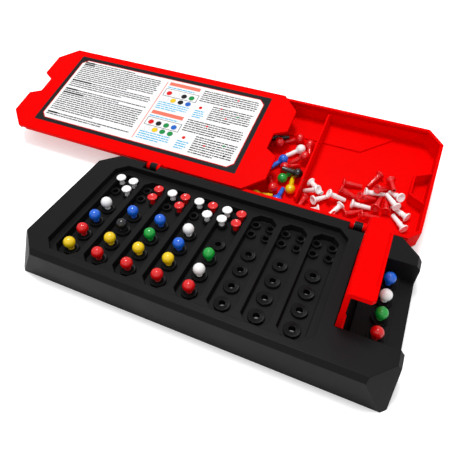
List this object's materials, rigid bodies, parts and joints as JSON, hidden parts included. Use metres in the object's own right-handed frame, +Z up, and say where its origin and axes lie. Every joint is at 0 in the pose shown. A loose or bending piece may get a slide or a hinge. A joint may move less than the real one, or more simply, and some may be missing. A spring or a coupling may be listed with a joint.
{
  "type": "code-breaking peg game",
  "caption": "Travel peg game: a black peg board, a hinged red storage tray with a sliding lid, a folding cover over the secret code, and coloured pegs.",
  "frame": {"origin": "centre of the board's underside, on the table", "axes": "+X along the board to the right, +Y towards the tray's hinge, +Z up"},
  "size_m": [0.2805, 0.1717, 0.0443],
  "materials": {
    "board_black": "satin moulded polystyrene",
    "pin": "plain steel pin",
    "tray_red": "satin red moulded polystyrene",
    "lid_red": "satin red moulded polystyrene",
    "cover_red": "satin red moulded polystyrene",
    "label": "printed paper label",
    "peg_red": "gloss moulded polyethylene",
    "peg_yellow": "gloss moulded polyethylene",
    "peg_blue": "gloss moulded polyethylene",
    "peg_green": "gloss moulded polyethylene",
    "peg_black": "gloss moulded polyethylene",
    "peg_white": "gloss moulded polyethylene"
  },
  "bodies": {
    "board": {"board_deck": "board_black", "code_peg_1_1_yellow": "peg_yellow", "code_peg_1_2_red": "peg_red", "code_peg_1_3_blue": "peg_blue", "code_peg_1_4_white": "peg_white", "code_peg_2_1_red": "peg_red", "code_peg_2_2_yellow": "peg_yellow", "code_peg_2_3_black": "peg_black", "code_peg_2_4_blue": "peg_blue", "code_peg_3_1_red": "peg_red", "code_peg_3_2_yellow": "peg_yellow", "code_peg_3_3_green": "peg_green", "code_peg_3_4_blue": "peg_blue", "code_peg_4_1_red": "peg_red", "code_peg_4_2_yellow": "peg_yellow", "code_peg_4_3_blue": "peg_blue", "code_peg_4_4_white": "peg_white", "code_peg_5_1_red": "peg_red", "code_peg_5_2_white": "peg_white", "code_peg_5_3_green": "peg_green", "hinge_pin_left": "pin", "hinge_pin_right": "pin", "key_pegs_1_white": "peg_white", "key_pegs_2_red": "peg_red", "key_pegs_3_red": "peg_red", "key_pegs_3_white": "peg_white", "key_pegs_4_red": "peg_red", "key_pegs_4_white": "peg_white", "key_pegs_5_red": "peg_red", "key_pegs_5_white": "peg_white", "secret_peg_blue": "peg_blue", "secret_peg_green": "peg_green", "secret_peg_red": "peg_red", "secret_peg_white": "peg_white"},
    "tray": {"tray": "tray_red", "loose_code_pegs_black": "peg_black", "loose_code_pegs_blue": "peg_blue", "loose_code_pegs_green": "peg_green", "loose_code_pegs_red": "peg_red", "loose_code_pegs_white": "peg_white", "loose_code_pegs_yellow": "peg_yellow", "loose_key_pegs_red": "peg_red", "loose_key_pegs_white": "peg_white"},
    "lid": {"lid": "lid_red", "lid_label": "label"},
    "cover": {"code_cover": "cover_red"}
  },
  "joints": [
    {"name": "tray_hinge", "type": "hinge", "parent": "board", "child": "tray", "pos_m": [0, 0.0426, 0.018], "axis": [1, 0, 0], "range_deg": [0, 164.7]},
    {"name": "cover_hinge", "type": "hinge", "parent": "board", "child": "cover", "pos_m": [0.0676, 0, 0.0189], "axis": [0, 1, 0], "range_deg": [0, 90]},
    {"name": "lid_slide", "type": "slide", "parent": "tray", "child": "lid", "axis": [1, 0, 0], "range_m": [-0.08, 0.0906]}
  ],
  "couplings": [
    {"joint": "cover_hinge", "follows": "tray_hinge", "ratio": 0.5464}
  ]
}
